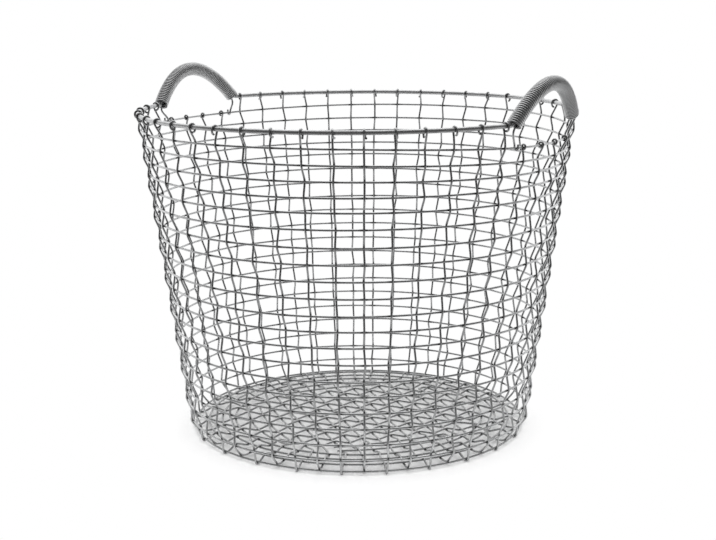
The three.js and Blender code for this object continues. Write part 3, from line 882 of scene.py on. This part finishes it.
def coil_line(handle):
    """middle + radius · (cos a · into + sin a · over), where a makes all the turns along the line."""
    points, along, into, over, _ = grip_line(handle, coil_turns * TURN_STEPS)
    angle = (2 * np.pi * np.arange(len(points)) / TURN_STEPS)[:, None]
    return points + coil_radius * (np.cos(angle) * into + np.sin(angle) * over), along


for number, handle in enumerate(handle_angles, start=1):
    line, along = coil_line(handle)
    grip = wire_object(f"wound_grip_{number:02d}", line, along, COIL_WIRE / 2, sides=COIL_SIDES)
    grooves = np.tile(groove_shade, len(grip.data.vertices) // COIL_SIDES)
    grip.data.attributes["painted_shade"].data.foreach_set("value", grooves)
    dress(grip, sleeve_zinc, "coiled_sleeve", f"handle_coil_{number:02d}")
print("grips:", coil_turns, "turns each")

# %% [markdown]
# The hook wire follows the arch inside the grip, so only its ends show. They drop from the mouth of the grip
# to the inside of the top ring, turn under it and point up on the outside.

# %% Hook wires
HOOK_ANGLE = math.radians(14)
HOOK_LEAD = 3 * MM
HOOK_DROP = 0.6
HOOK_POINTS = 5
HOOK_TIP = 3.5 * MM
HOOK_STEPS = 10
hook_below = (COIL_BORE - HOOK_WIRE) / 2 - GRIP_ROOM


def hook_end(handle, way):
    """Points, directions and sides from the mouth of a grip to the tip of the hook; way is -1 or 1.

    The hook is half a turn under the top ring: centre - reach · (outward · cos a + up · sin a).
    """
    points, along, into, over, _ = grip_line(handle, ARCH_STEPS)
    at = -1 if way > 0 else 0
    mouth = points[at] - hook_below * over[at]
    leave = way * along[at]
    angle = handle + way * HOOK_ANGLE
    out, beside = outward(angle), around(angle)
    level = hoop_level(0, angle)
    centre = wall_radius(level) * out + level * UP
    reach = (WEAVE_WIRE + HOOK_WIRE) / 2
    turn = np.linspace(0, np.pi, HOOK_POINTS)[:, None]
    bent = centre - reach * np.cos(turn) * out - reach * np.sin(turn) * UP
    bent_ways = np.sin(turn) * out - np.cos(turn) * UP
    tip = bent[-1] + HOOK_TIP * UP
    places = np.vstack([mouth, mouth + HOOK_LEAD * leave, bent, tip])
    ways = np.vstack([leave, unit(leave - HOOK_DROP * UP), bent_ways, UP])
    sides = np.vstack([into[at], into[at], np.tile(way * beside, (HOOK_POINTS + 1, 1))])
    return places, ways, sides


for number, handle in enumerate(handle_angles, start=1):
    points, along, into, over, _ = grip_line(handle, ARCH_STEPS)
    inner = slice(1, -1)
    start_points, start_ways, start_sides = hook_end(handle, -1)
    end_points, end_ways, end_sides = hook_end(handle, 1)
    points = np.vstack([start_points[::-1], (points - hook_below * over)[inner], end_points])
    directions = np.vstack([-start_ways[::-1], along[inner], end_ways])
    sides = spread(np.vstack([start_sides[::-1], into[inner], end_sides]), HOOK_STEPS)
    line = flow_through(points, directions, HOOK_STEPS)
    tie = wire_object(f"grip_tie_{number:02d}", line, sides, HOOK_WIRE / 2, sides=THIN_SIDES)
    dress(tie, woven_zinc, "galvanised_wire", f"handle_hook_wire_{number:02d}")
print("hook wires:", len(handle_angles))

# %% [markdown]
# ## A white studio
#
# A studio picture of wire needs two things at once: a floor and a background that are even white in the
# picture, and a room with a dark side, because metal without anything dark to reflect looks like plaster.
# In Blender the Light Path node tells the rays apart: those that the camera sees, those that metal reflects
# and those that only carry light. The floor and the world both use these helpers.

# %% Rays, places and ramps
CAMERA_ANGLE = math.radians(-55.8)
ROOM_DIM = 0.05
to_camera = outward(CAMERA_ANGLE)


def seen_rays(tree, *more):
    """1 for rays that show a surface to the camera, directly, through glass or in the ways named, else 0."""
    path = add_node(tree, "LightPath")
    total = path.outputs["Is Camera Ray"]
    for other in ("Is Transmission Ray", *more):
        larger = add_node(tree, "Math")
        larger.operation = "MAXIMUM"
        tree.links.new(total, larger.inputs[0])
        tree.links.new(path.outputs[other], larger.inputs[1])
        total = larger.outputs["Value"]
    return total


def place_measure(tree, operation, coordinates, fixed):
    """One number for each place: its distance from a fixed point, or its product with a fixed direction."""
    place = add_node(tree, "TexCoord")
    measure = add_node(tree, "VectorMath")
    measure.operation = operation
    measure.inputs[1].default_value = fixed
    tree.links.new(place.outputs[coordinates], measure.inputs[0])
    return measure.outputs["Value"]


def ramp(tree, source, smooth, **values):
    """The output of a node that maps one range of a value to another, evenly or with soft ends."""
    mapped = add_node(tree, "MapRange", **values)
    mapped.interpolation_type = "SMOOTHSTEP" if smooth else "LINEAR"
    tree.links.new(source, mapped.inputs["Value"])
    return mapped.outputs["Result"]


print("the camera stands towards", np.round(to_camera, 3))

# %% [markdown]
# ## Floor
#
# The basket stands on a white floor that fades into a white background. Near the basket the floor is a plain
# matt surface, which keeps the shadow. Under the close wires of the base a painted shadow makes its colour
# grey, as in the photo, and the grey patch lies a little towards the camera, because more light comes from
# behind. Further out the floor turns into even white for the camera. In a studio the white paper ends in
# front of the camera, so for reflections the far floor is white at the back and dim at the front.

# %% Floor
FLOOR_REACH = 30.0
FLOOR_ROUGHNESS = 0.9
FADE_START, FADE_END = 0.197, 0.255
SHADE_START, SHADE_END = 0.181, 0.189
SHADE_SHIFT = 8 * MM
SHADED, OPEN = 0.8, 0.94
PAPER_END, PAPER_WHITE = -0.9, 0.5


def floor_material():
    """Matt white near the middle; further out even white for the camera, and paper with an end for metal."""
    material = bpy.data.materials.new("white_floor")
    material.use_nodes = True
    tree = material.node_tree
    nodes, link = tree.nodes, tree.links.new
    matt = nodes["Principled BSDF"]
    set_inputs(matt, {"Roughness": FLOOR_ROUGHNESS, "Specular IOR Level": 0.0})
    distance = place_measure(tree, "DISTANCE", "Object", SHADE_SHIFT * to_camera)
    # Painted shadow: the floor's colour is grey under the base and pale outside it.
    shade = ramp(tree, distance, False, From_Min=SHADE_START, From_Max=SHADE_END, To_Min=SHADED, To_Max=OPEN)
    link(shade, matt.inputs["Base Color"])
    fade = ramp(tree, distance, True, From_Min=FADE_START, From_Max=FADE_END)
    share = add_node(tree, "Math")
    share.operation = "MULTIPLY"
    link(fade, share.inputs[0])
    link(seen_rays(tree, "Is Glossy Ray"), share.inputs[1])
    towards_back = place_measure(tree, "DOT_PRODUCT", "Object", -to_camera)
    paper = ramp(tree, towards_back, True, From_Min=PAPER_END, From_Max=PAPER_WHITE, To_Min=ROOM_DIM)
    strength = add_node(tree, "Math")
    strength.operation = "MAXIMUM"
    link(paper, strength.inputs[0])
    link(seen_rays(tree), strength.inputs[1])
    white = add_node(tree, "Emission")
    link(strength.outputs["Value"], white.inputs["Strength"])
    mix = add_node(tree, "MixShader")
    link(share.outputs["Value"], mix.inputs["Fac"])
    link(matt.outputs["BSDF"], mix.inputs[1])
    link(white.outputs["Emission"], mix.inputs[2])
    link(mix.outputs["Shader"], nodes["Material Output"].inputs["Surface"])
    return material


floor_mesh = bpy.data.meshes.new("floor")
floor_corners = FLOOR_REACH * np.array([[-1, -1, 0], [1, -1, 0], [1, 1, 0], [-1, 1, 0]])
floor_mesh.from_pydata(floor_corners.tolist(), [], [(0, 1, 2, 3)])
floor = bpy.data.objects.new("floor", floor_mesh)
bpy.context.scene.collection.objects.link(floor)
floor.data.materials.append(floor_material())
print("floor reaches", FLOOR_REACH, "m")

# %% [markdown]
# ## Light
#
# Wire is a mirror bent round, so it shows the whole room in a narrow strip: a softbox above as a bright
# line on its top, the white floor as a paler line below, and the dim side of the studio, where the camera
# stands, as the dark body in between. The world makes that room: white behind and above the basket,
# and dim towards the camera. It is fixed to the basket's frame, so it stays as the camera moves.

# %% World and softbox
ROOM_WHITE = 1.2
ROOM_LIFT = 0.3
ROOM_DIM_END, ROOM_WHITE_START = 0.15, 0.85
FILL = 1.2
SOFTBOX_SIZE = 2.4
SOFTBOX_HEIGHT = 2.3
SOFTBOX_POWER = 9.0


def studio_world():
    """White for the camera, a room that is dim on one side for reflections, and an even fill for the rest."""
    world = bpy.data.worlds.new("studio")
    world.use_nodes = True
    tree = world.node_tree
    link = tree.links.new
    background = tree.nodes["Background"]
    background.inputs["Color"].default_value = (1, 1, 1, 1)
    facing = place_measure(tree, "DOT_PRODUCT", "Generated", ROOM_LIFT * UP - to_camera)
    edge = {"From_Min": ROOM_DIM_END, "From_Max": ROOM_WHITE_START}
    room = ramp(tree, facing, True, **edge, To_Min=ROOM_DIM, To_Max=ROOM_WHITE)
    path = add_node(tree, "LightPath")
    reflected = add_node(tree, "Mix", A=FILL)
    link(path.outputs["Is Glossy Ray"], reflected.inputs["Factor"])
    link(room, reflected.inputs["B"])
    strength = add_node(tree, "Mix", B=1.0)
    link(seen_rays(tree), strength.inputs["Factor"])
    link(reflected.outputs["Result"], strength.inputs["A"])
    link(strength.outputs["Result"], background.inputs["Strength"])
    bpy.context.scene.world = world


studio_world()
softbox_light = bpy.data.lights.new("softbox", "AREA")
softbox_light.size = SOFTBOX_SIZE
softbox_light.energy = SOFTBOX_POWER
softbox = bpy.data.objects.new("softbox", softbox_light)
softbox.location = (0, 0, SOFTBOX_HEIGHT)
bpy.context.scene.collection.objects.link(softbox)
print("softbox", SOFTBOX_SIZE, "m across,", SOFTBOX_HEIGHT, "m up")

# %% [markdown]
# ## Camera
#
# The camera stands 1.6 m from the basket's axis, a little above the rim, and looks slightly down. Its place
# and lens were worked out from the ellipses of the rim and the rings. The small shift moves the picture's
# middle to where the photo has it, and the small roll is the tilt of a camera held by hand.

# %% Camera
CAMERA_DISTANCE = 1592.8 * MM
CAMERA_ABOVE_RIM = 146.8 * MM
CAMERA_TILT = math.radians(11.955)
CAMERA_ROLL = math.radians(0.42)
SENSOR_WIDTH = 36
PICTURE_WIDTH = 716
FOCAL_PIXELS = 1371.2
MIDDLE_PIXEL = 357.6

camera_data = bpy.data.cameras.new("camera")
camera_data.sensor_width = SENSOR_WIDTH
camera_data.lens = FOCAL_PIXELS * SENSOR_WIDTH / PICTURE_WIDTH
camera_data.shift_x = (PICTURE_WIDTH / 2 - MIDDLE_PIXEL) / PICTURE_WIDTH
camera = bpy.data.objects.new("camera", camera_data)
camera.location = CAMERA_DISTANCE * to_camera + (rim_height + CAMERA_ABOVE_RIM) * UP
level_view = Euler((math.pi / 2 - CAMERA_TILT, 0, CAMERA_ANGLE + math.pi / 2)).to_matrix()
camera.rotation_euler = (level_view @ Matrix.Rotation(-CAMERA_ROLL, 3, "Z")).to_euler()
bpy.context.scene.collection.objects.link(camera)
bpy.context.scene.camera = camera
bpy.context.scene.view_settings.view_transform = "Standard"
print("lens", round(camera_data.lens, 2), "mm")
